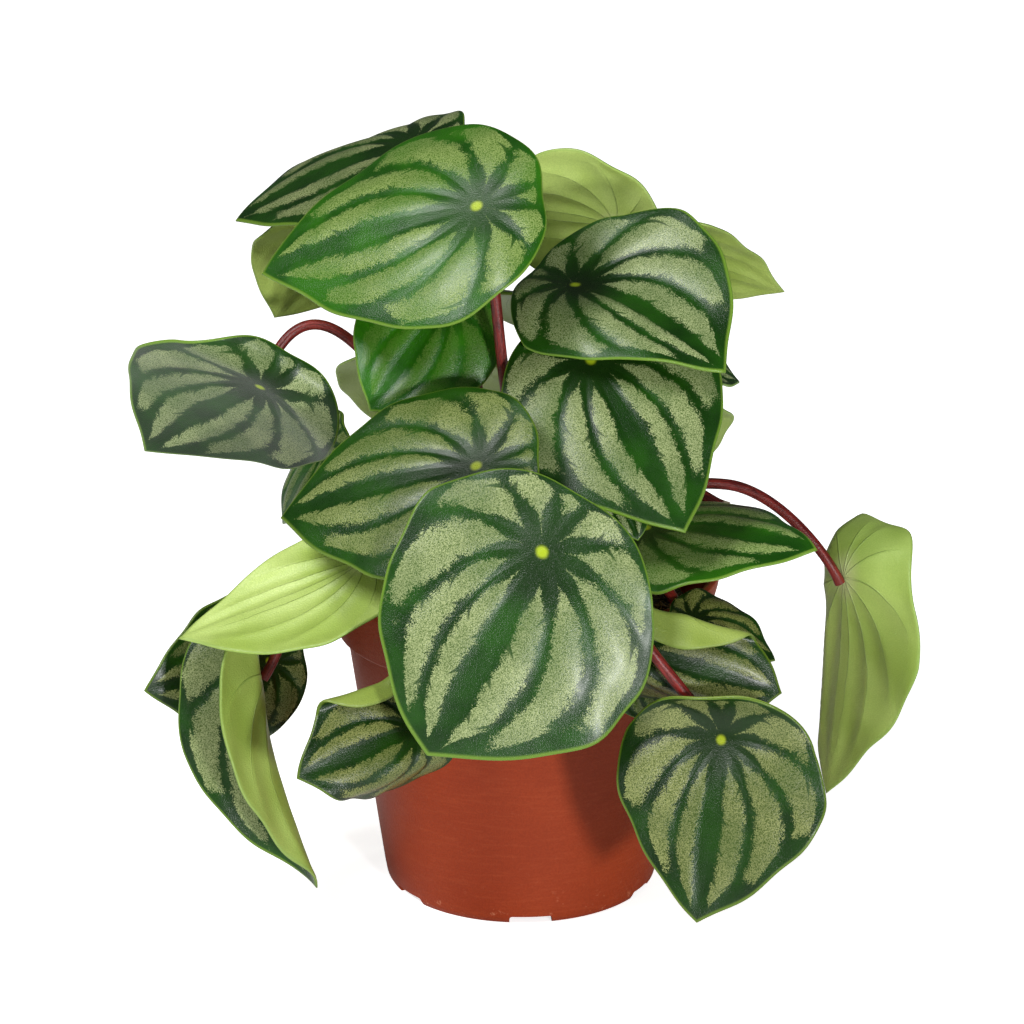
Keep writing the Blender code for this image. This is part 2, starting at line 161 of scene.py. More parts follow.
LEAVES = {
    "01": Leaf((-0.012, -0.028, 0.197), (-0.067, -0.012, 0.174), (-0.25, -0.7, 0.62), (-88, 0.42), 0.76,
        arch=18, base=25, right=(32, 0, 1), widest=0.4, via=((-0.005, -0.019, 0.152),)),
    "02": Leaf((-0.03, 0.026, 0.202), (-0.078, 0.03, 0.179), (-0.2, -0.3, 0.93), (139, 0.3), 0.84,
        arch=15, right=(50, 0, 1)),
    "03": Leaf((-0.052, 0.04, 0.172), (-0.069, 0.046, 0.147), (-0.45, 0.88, 0.1), (143, 0.62), 1.0,
        arch=30),
    "04": Leaf((-0.02, -0.008, 0.165), (-0.04, -0.02, 0.139), (0, -0.85, 0.5), (-165, 0.35), 0.9,
        arch=15),
    "05": Leaf((0.027, 0.045, 0.175), (-0.018, 0.058, 0.174), (0.05, 0.92, 0.35), (75, 0.25), 0.76,
        arch=20),
    "06": Leaf((0.037, 0.06, 0.1625), (0.075, 0.065, 0.1505), (0.25, 0.85, 0.5), (46, 0.4), 0.78,
        arch=10, right=(25, 0, 1), point=1.35),
    "07": Leaf((0.014, -0.01, 0.172), (0.052, -0.036, 0.154), (0.3, -0.4, 0.85), (-20, 0.22), 0.84,
        arch=30, left=(-38, 0, 0.5), right=(65, 0, 1), bow=0.08),
    "08": Leaf((0.018, -0.024, 0.155), (0.042, -0.05, 0.115), (0.1, -0.85, 0.5), (-48, 0.44), 0.84,
        base=15),
    "09": Leaf((0.04, 0.038, 0.141), (0.062, 0.045, 0.129), (0.1, -0.3, 0.9), (35, 0.72)),
    "10": Leaf((-0.071, 0.005, 0.1375), (-0.106, 0.041, 0.11), (-0.18, -0.77, -0.61), (178, 0.55), 0.8,
        arch=-30, base=100, left=(-20, 0, 1), right=(0, 0, 1), launch=2.0, land=1.6,
        meets=(-0.35, -0.35, -0.87)),
    "11": Leaf((-0.055, 0.04, 0.112), (-0.068, 0.048, 0.086), (-0.9, -0.3, 0.3), (150, 0.86)),
    "12": Leaf((-0.012, -0.052, 0.135), (-0.063, -0.036, 0.115), (-0.2, -0.66, 0.74), (-118, 0.56),
        0.74, arch=22, bow=0.03),
    "13": Leaf((0.005, -0.072, 0.118), (-0.024, -0.085, 0.068), (0, -0.93, 0.37), (-92, 0.72), 0.92,
        arch=15, point=2.6, bow=0.05),
    "14": Leaf((-0.04, -0.036, 0.102), (-0.09, -0.044, 0.085), (0.1, 0.5, -0.85), (-138, 0.76), 0.54,
        arch=15, bow=-0.04, meets=(-0.5, 0.45, -0.7), via=((-0.022, -0.038, 0.11),)),
    "15": Leaf((-0.069, 0, 0.062), (-0.102, -0.015, 0.059), (-0.55, -0.82, 0.12), (170, 0.8), arch=25,
        base=-15, right=(-15, 0, 1), meets=(-0.55, -0.7, -0.45), land=1.2,
        via=((-0.05, 0.008, 0.098),)),
    "16": Leaf((-0.072, -0.03, 0.068), (-0.0555, -0.042, 0.0125), (-0.89, -0.45, 0.1), (-162, 0.72),
        0.62, arch=10, base=60, left=(-57, 0, 0.3), right=(-57, 0, 0.3), meets=(-0.6, -0.2, -0.75),
        via=((-0.05, -0.018, 0.098),)),
    "17": Leaf((-0.027, -0.065, 0.068), (-0.057, -0.08, 0.06), (-0.15, -0.93, 0.3), (-116, 0.92), 0.92,
        right=(-165, 0.62, 0.8), left=(75, 0.25, 0.55), meets=(-0.12, -0.95, -0.15), land=0.9,
        via=((-0.023, -0.048, 0.097),)),
    "18": Leaf((0.028, -0.066, 0.0895), (0.067, -0.067, 0.078), (0.05, -0.9, 0.42), (-77, 0.78), 0.8,
        arch=15, left=(-165, 0.48, 0.64), right=(80, 0.12, 0.4), meets=(0.3, -0.9, -0.2),
        via=((0.017, -0.047, 0.096),)),
    "19": Leaf((0.033, -0.02, 0.108), (0.077, -0.038, 0.107), (-0.05, -0.35, 0.93), (-22, 0.6), 0.8,
        arch=15, left=(50, 0, 1), point=1.45),
    "20": Leaf((0.045, -0.046, 0.0905), (0.066, -0.046, 0.079), (0.45, -0.5, 0.75), (-38, 0.9), 0.8,
        meets=(0.6, -0.78, -0.1), via=((0.036, -0.034, 0.0965),)),
    "21": Leaf((0.03, -0.0515, 0.08), (0.0385, -0.049, 0.0635), (0.35, -0.9, 0.15), (-63, 0.94), 0.9,
        base=-11, left=(25, 0, 1), right=(25, 0, 1), meets=(0.28, -0.7, -0.65), land=1.0,
        via=((0.027, -0.0485, 0.0965),)),
    "22": Leaf((0.05, -0.08, 0.0705), (0.044, -0.094, 0.026), (-0.3, -0.93, 0.2), (-51, 0.74), 0.87,
        arch=8, base=-75, right=(-10, 0, 1), bow=0.04, launch=0.7, meets=(0.45, -0.75, -0.42), land=0.6,
        via=((0.02, -0.054, 0.108), (0.03, -0.0725, 0.0955))),
    "23": Leaf((0.0905, 0.005, 0.085), (0.0865, 0.01, 0.0185), (0.8, 0.6, 0.05), (12, 0.6), 0.66,
        arch=10, base=-95, left=(-170, 0.25, 0.55), right=(4, 0, 1), point=1.35,
        meets=(0.4, 0.05, -0.9), via=((0.056, 0.009, 0.11),)),
    "24": Leaf((0.024, -0.036, 0.1265), (0.03, -0.043, 0.111), (0, -0.8, 0.6), (-68, 0.6)),
    "25": Leaf((-0.025, 0.062, 0.13), (-0.034, 0.092, 0.096), (0.05, 0.55, 0.75), (112, 0.7), arch=30),
    "26": Leaf((0.03, 0.066, 0.118), (0.048, 0.096, 0.084), (0.05, 0.55, 0.75), (62, 0.8), arch=30),
    "27": Leaf((0.002, 0.058, 0.152), (0.008, 0.096, 0.128), (0.05, 0.45, 0.85), (92, 0.5), arch=30),
    "28": Leaf((0.006, 0.072, 0.084), (0.01, 0.092, 0.044), (0.05, 0.85, 0.45), (88, 0.72), arch=30,
        meets=(0, 0.92, -0.4), via=((0.005, 0.05, 0.096),)),
}

# How young and yellow-green each leaf is, from 0 to 1; the others are usual.
USUAL_YOUTH = 0.15
YOUTH = {"01": 0.75, "03": 0.9, "04": 1.0, "05": 1.0, "06": 0.7, "11": 0.5, "12": 0.4, "14": 0.9,
         "19": 0.6, "21": 0.5}

# How much painted shade darkens each leaf that lies in shadow and turns it olive, from 0 to 1; the others
# get none.
PAINTED_SHADE = {"01": 0.25, "02": 0.3, "03": 0.3, "06": 0.45, "07": 0.1, "08": 0.2, "11": 0.5, "12": 0.6,
            "13": 0.2, "14": 0.05, "15": 0.7, "16": 0.35, "17": 0.9, "18": 0.9, "19": 0.1, "20": 1.0,
            "21": 0.4, "22": 0.75}
# The olive tint that painted shade multiplies a leaf's colours by.
SHADE_OLIVE = (0.56, 0.5, 0.3, 1.0)


# ---- Shapes of blades and stalks ----
def unit(vector):
    return np.asarray(vector, float) / np.linalg.norm(vector)


def blade_frame(leaf):
    """The navel, the directions ahead, left and up at the middle of the blade, and the blade's length."""
    navel = np.array(leaf.navel)
    chord = np.array(leaf.tip) - navel
    ahead = unit(chord)
    up = unit(np.array(leaf.face) - ahead * np.dot(leaf.face, ahead))
    half_arch = math.radians(abs(leaf.arch)) / 2
    length = np.linalg.norm(chord) * half_arch / math.sin(half_arch) / (1 - NAVEL_AT)
    return navel, ahead, np.cross(up, ahead), up, length


def plain_outline(width, widest, point, length, turn):
    """The even, flat margin at each turn round the navel: 0 is the tip, and the left side is positive."""
    share = np.abs(turn) / (math.pi / 2)
    toward_tip = np.clip(share, 0, 1)
    half_width = width * length / 2
    centre = (widest - NAVEL_AT) * length
    u = np.where(
        share <= 1,
        centre + (1 - widest) * length * (1 - toward_tip),
        centre + widest * length * np.cos(turn),
    )
    v = np.where(
        share <= 1,
        half_width * (1 - (1 - toward_tip) ** point),
        half_width * np.abs(np.sin(turn)),
    )
    u = u + BASE_DENT * length * np.exp(-(((np.abs(turn) - math.pi) / BASE_DENT_REACH) ** 2))
    return u, v * np.sign(turn)


def blade_outline(leaf, length, turn):
    """This leaf's own flat margin, with its bow."""
    u, v = plain_outline(leaf.width, leaf.widest, leaf.point, length, turn)
    along = np.clip(u / ((1 - NAVEL_AT) * length), 0, 1)
    return u, v + leaf.bow * length * 4 * along * (1 - along)


def bent(distance, degrees, start, stop):
    """How far across and down a strip's point goes, and its turn, when the strip bends in a stretch."""
    curve = math.radians(degrees) / (stop - start)
    if abs(curve) < 1e-6:
        curve = 1e-6
    turn = curve * np.clip(distance - start, 0, stop - start)
    past = np.maximum(distance - stop, 0)
    across = np.minimum(distance, start) + np.sin(turn) / curve + past * np.cos(turn)
    down = (1 - np.cos(turn)) / curve + past * np.sin(turn)
    return across, down, turn


def blade_points(leaf, turn, share):
    """Points of the blade's middle surface, by turn round the navel and share of the way out."""
    navel, ahead, left, up, length = blade_frame(leaf)
    u, v = blade_outline(leaf, length, turn)
    u, v = u * share, v * share
    half_width = leaf.width * length / 2
    lefts, rights = (bent(np.abs(v), degrees, start * half_width, stop * half_width)
                     for degrees, start, stop in (leaf.left, leaf.right))
    across, down, side_turn = (np.where(v > 0, a, b) for a, b in zip(lefts, rights))
    dip = -DIMPLE * length * np.exp(-(u * u + v * v) / (DIMPLE_REACH * length) ** 2)
    sideways = (across + dip * np.sin(side_turn)) * np.sign(v)
    height = dip * np.cos(side_turn) - down
    half_arch = math.radians(leaf.arch) / 2
    tip_curve = 2 * half_arch / ((1 - NAVEL_AT) * length)
    base_curve = math.radians(leaf.base) / (NAVEL_AT * length)
    curve = np.where(u > 0, tip_curve, base_curve)
    turn_at = curve * u - half_arch
    forward = (np.sin(turn_at) + math.sin(half_arch)) / curve + height * np.sin(turn_at)
    upward = (np.cos(turn_at) - math.cos(half_arch)) / curve + height * np.cos(turn_at)
    return navel + forward[..., None] * ahead + sideways[..., None] * left + upward[..., None] * up


def navel_seat(leaf):
    """The stalk's end under the navel, and its direction there."""
    middle = blade_points(leaf, np.zeros(1), np.zeros(1))[0]
    _, ahead, _, up, _ = blade_frame(leaf)
    half_arch = math.radians(leaf.arch) / 2
    normal = up * math.cos(half_arch) - ahead * math.sin(half_arch)
    along = normal if leaf.meets is None else unit(leaf.meets)
    slant = math.sqrt(max(0, 1 - np.dot(along, normal) ** 2))
    drop = BLADE_THICKNESS / 2 + 2 * GAP + STALK_RADIUS * STALK_TAPER * slant
    return middle - normal * drop, along


def crown_seat(foot):
    """A stalk's start on the crown, and the direction in which it leaves."""
    turn, share = math.radians(foot[0]), foot[1]
    flat = np.array([math.cos(turn), math.sin(turn)]) * share
    rise = math.sqrt(1 - share * share)
    normal = unit([flat[0] / CROWN_RADIUS, flat[1] / CROWN_RADIUS, rise / CROWN_HEIGHT])
    surface = np.array([*(flat * CROWN_RADIUS), CROWN_BASE + rise * CROWN_HEIGHT])
    return surface + normal * GAP * 2, normal


def hermite(start, leaving, end, meeting, t):
    return (
        (2 * t**3 - 3 * t**2 + 1) * start
        + (t**3 - 2 * t**2 + t) * leaving
        + (3 * t**2 - 2 * t**3) * end
        + (t**3 - t**2) * meeting
    )


def way_through(places, leaving, meeting, parts):
    """Points of one smooth line through the places, given how it leaves the first and meets the last."""
    inner = [unit(after - before) for before, after in zip(places, places[2:])]
    ways = [leaving, *inner, meeting]
    spans = len(places) - 1
    line = [places[0]]
    for index in range(spans):
        start, end = places[index], places[index + 1]
        reach = np.linalg.norm(end - start)
        t = np.linspace(0, 1, math.ceil(parts / spans) + 1)[1:, None]
        line.extend(hermite(start, ways[index] * reach, end, ways[index + 1] * reach, t))
    return np.array(line)


def stalk_points(leaf, parts):
    """Points along the stalk, from the crown to the navel."""
    start, leaving = crown_seat(leaf.foot)
    end, meeting = navel_seat(leaf)
    places = [start, *map(np.array, leaf.via), end]
    return way_through(places, leaving * leaf.launch, meeting * leaf.land, parts)


def stub_points(parts):
    """Points along the old stalk that was cut off."""
    start, leaving = crown_seat(STUB_FOOT)
    via, end = np.array(STUB_VIA), np.array(STUB_END)
    return way_through([start, via, end], leaving, unit(end - via), parts)


# ---- Node wiring ----
def wire(tree, socket, value):
    """Puts a number, a colour, a node's first output or a socket on an input."""
    if isinstance(value, Value):
        value = value.socket
    if isinstance(value, bpy.types.Node):
        value = value.outputs[0]
    if isinstance(value, bpy.types.NodeSocket):
        tree.links.new(value, socket)
    else:
        socket.default_value = value


def add_node(tree, kind, feeds=None, **settings):
    """A new node with its settings made first and then its inputs fed, by name or by number."""
    made = tree.nodes.new(kind)
    for name, value in settings.items():
        setattr(made, name, value)
    for place, value in (feeds or {}).items():
        wire(tree, made.inputs[place], value)
    return made


class Value:
    """A number on a wire, with the sums that patterns are worked out from."""

    def __init__(self, tree, socket):
        self.tree = tree
        self.socket = socket

    def sum(self, operation, *others):
        feeds = dict(enumerate((self, *others)))
        made = add_node(self.tree, "ShaderNodeMath", feeds, operation=operation)
        return Value(self.tree, made.outputs[0])

    def __add__(self, other):
        return self.sum("ADD", other)

    def __sub__(self, other):
        return self.sum("SUBTRACT", other)

    def __mul__(self, other):
        return self.sum("MULTIPLY", other)

    def __truediv__(self, other):
        return self.sum("DIVIDE", other)

    def less_from(self, number):
        """The number less this value."""
        return self.sum("MULTIPLY", -1.0).sum("ADD", number)

    def ramp(self, low, high, start=0.0, end=1.0):
        """A smooth change from start to end while this value goes from low to high."""
        feeds = {"Value": self, 1: low, 2: high, 3: start, 4: end}
        made = add_node(self.tree, "ShaderNodeMapRange", feeds, interpolation_type="SMOOTHSTEP")
        return Value(self.tree, made.outputs[0])

    def mix(self, first, second, blend="MIX"):
        """A colour that goes from the first to the second while this value goes from 0 to 1."""
        feeds = {0: self, 6: first, 7: second}
        made = add_node(self.tree, "ShaderNodeMix", feeds, data_type="RGBA", blend_type=blend)
        return made.outputs[2]


def noise_on(tree, spot, per_metre, detail=2.0, roughness=0.5):
    """Smooth noise from 0 to 1, with that many bumps to the metre."""
    feeds = {"Vector": spot, "Scale": per_metre, "Detail": detail, "Roughness": roughness}
    return Value(tree, add_node(tree, "ShaderNodeTexNoise", feeds).outputs["Fac"])


def new_group(name, kind, inputs, outputs):
    """A node group and the nodes that hold its sockets. An input has its usual number or its kind."""
    tree = bpy.data.node_groups.new(name, kind)
    for label, value in inputs.items():
        number = {float: "Float", int: "Int"}.get(type(value))
        socket_type = f"NodeSocket{number or value}"
        made = tree.interface.new_socket(label, in_out="INPUT", socket_type=socket_type)
        if number:
            made.default_value = value
    for label, value in outputs.items():
        tree.interface.new_socket(label, in_out="OUTPUT", socket_type=f"NodeSocket{value}")
    return tree, tree.nodes.new("NodeGroupInput"), tree.nodes.new("NodeGroupOutput")


def linear(red, green, blue):
    """A screen colour from 0 to 255 as the linear colour that shaders take."""
    shares = np.array([red, green, blue]) / 255
    return (*np.where(shares <= 0.04045, shares / 12.92, ((shares + 0.055) / 1.055) ** 2.4), 1.0)


# ---- Patterns that more than one material uses ----
VEIN_OUTPUTS = ("Between", "Reach", "Number", "Branch")


def grain_group():
    """Fine grain and broad clouding, each from 0 to 1."""
    inputs = {"Spot": "Vector", "Grains Per Metre": 2500.0, "Clouds Per Metre": 60.0}
    outputs = {"Grain": "Float", "Clouds": "Float"}
    tree, given, result = new_group("fine grain", "ShaderNodeTree", inputs, outputs)
    grain = noise_on(tree, given.outputs["Spot"], given.outputs["Grains Per Metre"], 1.0)
    clouds = noise_on(tree, given.outputs["Spot"], given.outputs["Clouds Per Metre"], 3.0)
    wire(tree, result.inputs["Grain"], grain.ramp(0.25, 0.75))
    wire(tree, result.inputs["Clouds"], clouds.ramp(0.3, 0.7))
    return tree


def vein_group():
    """Where a place on the blade lies among its veins.

    Between is 0 on a main vein and 1 half way to the next, Reach is the distance from the navel over the
    blade's length, Number counts the main veins out from the midrib, and Branch is 1 on a side vein.
    """
    inputs = {"Place": "Vector", "Spot": "Vector"}
    outputs = dict.fromkeys(VEIN_OUTPUTS, "Float")
    tree, given, result = new_group("veins", "ShaderNodeTree", inputs, outputs)
    place = add_node(tree, "ShaderNodeSeparateXYZ", {0: given.outputs["Place"]})
    along, side = Value(tree, place.outputs[0]), Value(tree, place.outputs[1])
    off = side.sum("ABSOLUTE")
    reach = (along * along + side * side).sum("SQRT")
    turns = off.sum("ARCTAN2", along) + off.sum("ARCTAN2", along.less_from(VEINS_MEET))
    swing = turns * math.degrees(1)
    wander = (noise_on(tree, given.outputs["Spot"], 55.0) - 0.5) * reach.ramp(0.1, 0.4, 0.0, 0.55)
    number = (swing - FIRST_VEIN) / VEIN_STEP + 1.0 + wander
    nearest = number.sum("ROUND").sum("MAXIMUM", 1.0)
    beside = (number - nearest) * number.ramp(0.99, 1.01)
    between = beside.sum("ABSOLUTE") * 2.0
    feeds = {0: nearest, 1: side.sum("SIGN"), 2: beside.sum("SIGN")}
    which = add_node(tree, "ShaderNodeCombineXYZ", feeds)
    start = Value(tree, add_node(tree, "ShaderNodeTexWhiteNoise", {"Vector": which}).outputs["Value"])
    steps = reach * 8.0 - between * 0.55 + start
    feeds = {"W": steps.sum("FLOOR") + start * 17.0}
    any_length = add_node(tree, "ShaderNodeTexWhiteNoise", feeds, noise_dimensions="1D")
    length = Value(tree, any_length.outputs["Value"])
    from_branch = (steps.sum("FRACT") - 0.5).sum("ABSOLUTE")
    taper = (between / (length * 0.75 + 0.2)).less_from(1.0) * 0.17
    branch = (taper - from_branch).ramp(0.0, 0.05)
    for label, value in zip(VEIN_OUTPUTS, (between, reach, number, branch)):
        wire(tree, result.inputs[label], value)
    return tree


# ---- Materials ----
def new_material(name, **settings):
    """A material, its node tree, its shader with constant settings, and object coordinates."""
    made = bpy.data.materials.new(name)
    made.use_nodes = True
    tree = made.node_tree
    shader = tree.nodes["Principled BSDF"]
    for label, value in settings.items():
        shader.inputs[label.replace("_", " ")].default_value = value
    spot = tree.nodes.new("ShaderNodeTexCoord").outputs["Object"]
    return made, tree, shader, spot


def finish_skin(tree, shader, colour, roughness, height, depth):
    """Gives the shader its colour, its roughness, and a relief of height times depth, in metres."""
    relief = add_node(tree, "ShaderNodeBump", {"Distance": depth, "Height": height})
    for label, value in (("Base Color", colour), ("Roughness", roughness), ("Normal", relief)):
        wire(tree, shader.inputs[label], value)


def grain_at(tree, spot, grain, grains, clouds):
    """The grain group's two patterns, with that many grains and clouds to the metre."""
    feeds = {"Spot": spot, "Grains Per Metre": grains, "Clouds Per Metre": clouds}
    made = add_node(tree, "ShaderNodeGroup", feeds, node_tree=grain)
    return Value(tree, made.outputs["Grain"]), Value(tree, made.outputs["Clouds"])


def attribute(tree, name):
    return Value(tree, add_node(tree, "ShaderNodeAttribute", attribute_name=name).outputs["Fac"])


def blade_inputs(tree, spot, veins):
    """The veins on the blade's flat map, the share of the way to the margin, the leaf's youth and its
    painted shade.
    """
    flat = add_node(tree, "ShaderNodeUVMap", uv_map="blade")
    lines = add_node(tree, "ShaderNodeGroup", {"Place": flat, "Spot": spot}, node_tree=veins)
    found = [Value(tree, lines.outputs[label]) for label in VEIN_OUTPUTS]
    return *found, *(attribute(tree, name) for name in ("edge", "youth", "painted_shade"))


def in_painted_shade(painted_shade, colour):
    """Painted shade: the colour of a leaf that lies in shadow, darker and more olive."""
    return painted_shade.mix(colour, SHADE_OLIVE, "MULTIPLY")


def upper_skin(veins, grain):
    """The blade's upper side: silver lobes between dark bands that follow the veins."""
    made, tree, shader, spot = new_material("leaf_upper_skin", Coat_Weight=0.08, Coat_Roughness=0.22,
                                            Specular_IOR_Level=0.3)
    between, reach, number, branch, edge, youth, painted_shade = blade_inputs(tree, spot, veins)
    speck, clouds = grain_at(tree, spot, grain, 3200.0, 70.0)
    band = number.ramp(2.0, 5.5, 0.3, 0.14)
    navel_end = reach.ramp(0.06, 0.22, 0.9, 0.0)
    margin_end = edge.ramp(0.86, 0.975, 0.0, 0.85)
    rough = (noise_on(tree, spot, 420.0, 4.0, 0.65) - 0.5) * 0.75
    lobe = between - band - navel_end - margin_end + rough
    feathered = (lobe + (speck - 0.5) * 0.3).ramp(-0.06, 0.16)
    silver = feathered * (branch * 0.85).less_from(1.0) * youth.ramp(0.8, 1.0, 1.0, 0.3)
    dark = youth.mix(linear(10, 38, 3), linear(20, 74, 1))
    lighter = youth.mix(linear(22, 62, 6), linear(44, 108, 3))
    green = clouds.mix(dark, lighter)
    shade = reach.ramp(0.04, 0.26, 0.65, 0.0).mix(green, linear(20, 42, 12))
    pale = speck.mix(linear(82, 100, 56), linear(166, 176, 130))
    fresh = speck.mix(linear(74, 112, 30), linear(134, 160, 80))
    lobe_colour = youth.mix(pale, fresh)
    clouded = ((clouds - 0.5) * 0.5 + 0.2).mix(lobe_colour, green)
    striped = (silver * 0.95).mix(shade, clouded)
    rim = (edge.ramp(0.972, 0.99) * 0.9).mix(striped, linear(104, 138, 44))
    dotted = reach.ramp(0.01, 0.027, 1.0, 0.0).mix(rim, linear(160, 182, 28))
    roughness = speck * 0.12 + silver * -0.03 + 0.27
    # Painted shade darkens and turns olive the upper side of a leaf that lies in shadow.
    finish_skin(tree, shader, in_painted_shade(painted_shade, dotted), roughness, speck, 0.00004)
    return made


def under_skin(veins, grain):
    """The blade's underside: smooth lime green, with thin darker lines on the veins."""
    made, tree, shader, spot = new_material("leaf_under_skin", Coat_Weight=0.05, Coat_Roughness=0.35)
    _, reach, number, branch, edge, youth, painted_shade = blade_inputs(tree, spot, veins)
    speck, clouds = grain_at(tree, spot, grain, 2600.0, 45.0)
    plain = clouds.mix(linear(136, 162, 68), linear(160, 184, 94))
    bright = clouds.mix(linear(154, 178, 76), linear(184, 204, 114))
    lime = youth.mix(plain, bright)
    mottled = (speck * 0.25).mix(lime, linear(110, 146, 60))
    across = (number - number.sum("ROUND")).sum("ABSOLUTE") * reach
    thread = across.ramp(0.002, 0.007, 0.8, 0.0) * edge.ramp(0.5, 0.95, 1.0, 0.0)
    veined = (thread * 0.4).mix(mottled, linear(96, 132, 44))
    pale_end = reach.ramp(0.02, 0.1, 0.7, 0.0).mix(veined, linear(190, 200, 140))
    rim = (edge.ramp(0.97, 0.99) * 0.6).mix(pale_end, linear(124, 152, 66))
    height = thread * 0.9 + branch * 0.1 + speck * 0.15 + clouds * 0.2
    # Painted shade darkens the underside too, a little less.
    finish_skin(tree, shader, in_painted_shade(painted_shade * 0.7, rim), speck * 0.1 + 0.42, height, 0.00025)
    return made


def stalk_skin(name, grain, pale_end=None):
    """Dark red stalk with fine streaks along it, lighter below the blade. pale_end colours a cut end."""
    made, tree, shader, spot = new_material(name, Coat_Weight=0.1, Coat_Roughness=0.3,
                                            Specular_IOR_Level=0.3)
    along, turn = attribute(tree, "along"), attribute(tree, "around") * math.tau
    feeds = {0: turn.sum("COSINE"), 1: turn.sum("SINE"), 2: attribute(tree, "length") * 90.0}
    streaks = noise_on(tree, add_node(tree, "ShaderNodeCombineXYZ", feeds).outputs[0], 3.2, 3.0)
    speck, clouds = grain_at(tree, spot, grain, 2200.0, 120.0)
    red = streaks.ramp(0.35, 0.65).mix(linear(66, 10, 10), linear(118, 28, 24))
    spotted = (speck * clouds * 0.35).mix(red, linear(140, 58, 46))
    foot = along.ramp(0.0, 0.12, 0.6, 0.0).mix(spotted, linear(122, 62, 44))
    colour = along.ramp(0.93, 1.0, 0.0, 0.35).mix(foot, linear(128, 48, 38))
    if pale_end:
        colour = along.ramp(0.955, 0.975).mix(colour, pale_end)
    finish_skin(tree, shader, colour, streaks * 0.15 + 0.33, streaks * 0.6 + speck * 0.4, 0.00012)
    return made


def crown_skin(name, grain):
    """The woody, red-brown foot that all the stalks grow from."""
    made, tree, shader, spot = new_material(name)
    speck, clouds = grain_at(tree, spot, grain, 1500.0, 260.0)
    brown = clouds.mix(linear(70, 34, 24), linear(134, 74, 52))
    colour = (speck * 0.4).mix(brown, linear(168, 128, 92))
    finish_skin(tree, shader, colour, speck * 0.2 + 0.55, clouds * 0.7 + speck * 0.3, 0.0006)
    return made


def pot_plastic(grain):
    """Terracotta-coloured plastic: satin, faintly clouded, scuffed at the foot, dusty near the rim."""
    made, tree, shader, spot = new_material("pot_plastic", Specular_IOR_Level=0.22)
    speck, clouds = grain_at(tree, spot, grain, 1900.0, 22.0)
    high = Value(tree, add_node(tree, "ShaderNodeSeparateXYZ", {0: spot}).outputs[2])
    body = clouds.mix(linear(128, 42, 9), linear(140, 50, 14))
    grainy = (speck * 0.25).mix(body, linear(106, 32, 6))
    stretch = add_node(tree, "ShaderNodeMapping", {0: spot, "Scale": (1.0, 1.0, 9.0)})
    rings = noise_on(tree, stretch, 130.0)
    ringed = (rings.ramp(0.45, 0.8) * 0.07).mix(grainy, linear(190, 98, 58))
    scuffs = noise_on(tree, spot, 420.0, 4.0, 0.7).ramp(0.6, 0.72) * high.ramp(0.0, 0.012, 0.45, 0.04)
    scuffed = scuffs.mix(ringed, linear(206, 138, 104))
    dust = noise_on(tree, spot, 600.0, 5.0, 0.7).ramp(0.56, 0.7) * high.ramp(0.06, 0.09, 0.0, 0.3)
    dusty = dust.mix(scuffed, linear(92, 66, 48))
    roughness = speck * 0.08 + clouds * 0.06 + scuffs * 0.25 + 0.46
    finish_skin(tree, shader, dusty, roughness, speck * 0.5 + rings * 0.8, 0.00006)
    return made


def soil_matter(name, grain, dark, light):
    """Damp peat and bark: rough lumps, with lighter fibres."""
    made, tree, shader, spot = new_material(name)
    speck, clouds = grain_at(tree, spot, grain, 1100.0, 330.0)
    earth = clouds.mix(dark, light)
    fibrous = (speck.ramp(0.7, 1.0) * 0.5).mix(earth, linear(120, 92, 66))
    finish_skin(tree, shader, fibrous, speck * 0.15 + 0.8, clouds * 0.6 + speck * 0.4, 0.0008)
    return made


def floor_paint():
    """Plain matt white, shown a little brighter than it is lit so that it matches the surroundings."""
    made, tree, shader, spot = new_material("floor_paint", Roughness=0.9)
    shader.inputs["Emission Color"].default_value = WHITE
    seen = Value(tree, tree.nodes.new("ShaderNodeLightPath").outputs["Is Camera Ray"])
    wire(tree, shader.inputs["Emission Strength"], seen * FLOOR_GLOW)
    wash = noise_on(tree, spot, 6.0).mix(linear(250, 250, 249), linear(252, 252, 252))
    wire(tree, shader.inputs["Base Color"], wash)
    return made


# ---- Making meshes ----
def plain_object(name, mesh):
    made = bpy.data.objects.new(name, mesh)
    bpy.context.scene.collection.objects.link(made)
    return made


def line_mesh(name, points):
    mesh = bpy.data.meshes.new(name)
    edges = [(i, i + 1) for i in range(len(points) - 1)]
    mesh.from_pydata([tuple(point) for point in points], edges, [])
    return mesh


def point_values(mesh, name, values):
    mesh.attributes.new(name, "FLOAT", "POINT").data.foreach_set("value", np.asarray(values, np.float32))


def baked(piece):
    """Puts what the modifiers make into the piece's own mesh."""
    graph = bpy.context.evaluated_depsgraph_get()
    result = bpy.data.meshes.new_from_object(piece.evaluated_get(graph))
    piece.modifiers.clear()
    piece.data = result
    return piece


def grown(name, mesh, tree, values):
    """The plain mesh object that a Geometry Nodes tree makes from a starting mesh.

    The tree's sizes and materials are set by each socket's own identifier.
    """
    made = plain_object(name, mesh)
    modifier = made.modifiers.new("Shape", "NODES")
    modifier.node_group = tree
    for item in tree.interface.items_tree:
        if item.in_out == "INPUT" and item.name in values:
            modifier[item.identifier] = values[item.name]
    return baked(made)


def stands_for(piece, node):
    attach(piece, "root")
    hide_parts(node)


# ---- Geometry Nodes trees ----
def shape_group(name, inputs):
    """A Geometry Nodes tree with a Geometry input and output besides the given inputs."""
    geometry = {"Geometry": "Geometry"}
    tree, given, result = new_group(name, "GeometryNodeTree", geometry | inputs, geometry)
    return tree, given.outputs, result.inputs["Geometry"]


